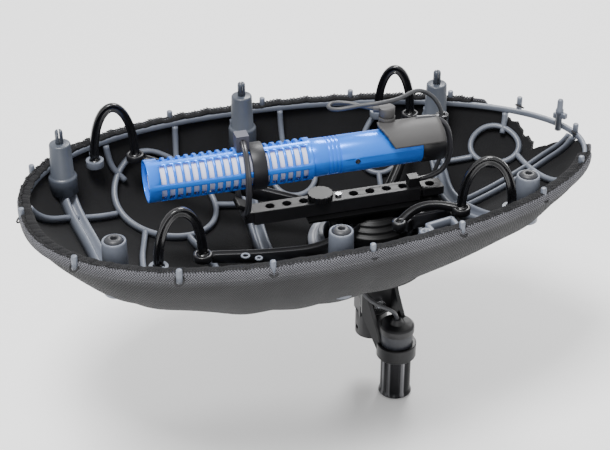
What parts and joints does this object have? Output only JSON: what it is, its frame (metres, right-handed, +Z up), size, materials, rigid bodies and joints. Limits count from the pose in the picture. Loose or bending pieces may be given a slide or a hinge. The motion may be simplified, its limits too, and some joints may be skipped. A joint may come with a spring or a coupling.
{
  "type": "suspended microphone windshield basket for a boom pole",
  "caption": "Open lower half of an egg-shaped microphone windshield: covered basket, floating chassis on flexible hoops, short shotgun microphone on a rail, and a swivel foot for a boom pole.",
  "frame": {"origin": "centre of the mouth of the swivel foot's threaded hole, where the boom pole's stud enters", "axes": "+X along the basket towards its tail, the microphone's nose towards -X; +Z up out of the pole"},
  "size_m": [0.3193, 0.172, 0.1832],
  "materials": {
    "frame_grey_nylon": "bluish grey moulded glass-filled nylon, satin",
    "woven_cover": "mid grey open weave polyester, dark stitched hem",
    "black_lining": "matte black knitted lining",
    "black_hoop_nylon": "glossy black flexible polymer",
    "grey_rubber": "soft grey rubber bush",
    "black_alloy": "black anodised or painted aluminium, satin",
    "black_nylon": "black moulded nylon, fine texture",
    "black_gloss_shell": "glossy black plated connector shell",
    "grey_band": "plain grey identification band",
    "bright_steel": "bright steel fasteners",
    "brass": "machined brass",
    "lyre_polymer": "dark grey springy polymer",
    "grey_lead": "dark grey flexible lead jacket",
    "blue_anodised": "bright blue anodised aluminium, satin",
    "white_screen": "white acoustic screen cloth",
    "clamp_rubber": "violet-black soft rubber clamp band",
    "clamp_grey": "grey-violet moulded clip",
    "warm_grey_nylon": "warm dark grey moulded housing, matte"
  },
  "bodies": {
    "foot": {"swivel_foot": "black_alloy", "thread_insert": "brass"},
    "chassis": {"yoke": "black_alloy", "friction_washers": "black_nylon", "pivot_bolt": "bright_steel", "pivot_nut": "bright_steel", "connector_bracket": "black_alloy", "connector_barrel": "black_gloss_shell", "connector_band": "grey_band", "connector_cap": "black_nylon", "connector_insert": "black_nylon", "connector_contacts": "brass", "chassis_housing": "black_nylon", "saddle_plate": "black_nylon", "arm_rear_left": "black_nylon", "arm_front_left": "black_nylon", "arm_rear_right": "black_nylon", "arm_front_right": "black_nylon", "lead_output": "grey_lead"},
    "rail": {"rail": "black_alloy", "rail_end_piece": "black_nylon", "rail_screw": "bright_steel", "lyre_front": "lyre_polymer", "lyre_shoe_front": "black_nylon", "lyre_rear": "lyre_polymer", "lyre_shoe_rear": "black_nylon", "inline_plug": "black_gloss_shell", "lead_link": "grey_lead"},
    "knob": {"rail_knob": "black_nylon"},
    "microphone": {"interference_tube": "blue_anodised", "acoustic_screen": "white_screen", "nose_grille": "white_screen", "capsule": "bright_steel", "microphone_body": "blue_anodised", "body_screw": "bright_steel", "microphone_clamp": "clamp_rubber", "lyre_clip": "clamp_grey", "connector_shell": "warm_grey_nylon", "lead_gland": "warm_grey_nylon", "lead_microphone": "grey_lead"},
    "basket": {"rim_ring": "frame_grey_nylon", "locating_posts": "frame_grey_nylon", "post_sockets": "frame_grey_nylon", "socket_bushes": "grey_rubber", "beam_left": "frame_grey_nylon", "beam_middle": "frame_grey_nylon", "beam_right": "frame_grey_nylon", "opening_collar": "frame_grey_nylon", "ribs_nose": "frame_grey_nylon", "ribs_middle": "frame_grey_nylon", "ribs_tail": "frame_grey_nylon", "cover_pins": "frame_grey_nylon", "tail_tongue": "frame_grey_nylon", "liner": "black_lining", "cover": "woven_cover", "cover_hem": "woven_cover", "cover_skirt": "woven_cover", "suspension_hoops": "black_hoop_nylon", "hoop_sockets": "frame_grey_nylon"}
  },
  "joints": [
    {"name": "tilt", "type": "hinge", "parent": "foot", "child": "chassis", "pos_m": [0, 0, 0.027], "axis": [0, 1, 0], "range_deg": [-60, 60]},
    {"name": "basket_float", "type": "slide", "parent": "chassis", "child": "basket", "axis": [0, 0, 1], "range_m": [-0.0025, 0.0025], "stiffness_N_per_m": 1500, "springref_m": 0.0014, "deforming": ["suspension_hoops"]},
    {"name": "rail_slide", "type": "slide", "parent": "chassis", "child": "rail", "axis": [1, 0, 0], "range_m": [-0.008, 0.004], "deforming": ["lead_link"]},
    {"name": "rail_knob_turn", "type": "hinge", "parent": "rail", "child": "knob", "pos_m": [-0.035, -0.01, 0.104], "axis": [0, 0, 1], "continuous": true},
    {"name": "mic_float", "type": "slide", "parent": "rail", "child": "microphone", "axis": [1, 0, 0], "range_m": [-0.003, 0.003], "stiffness_N_per_m": 1200, "deforming": ["lyre_front", "lyre_rear", "lead_microphone"]}
  ]
}
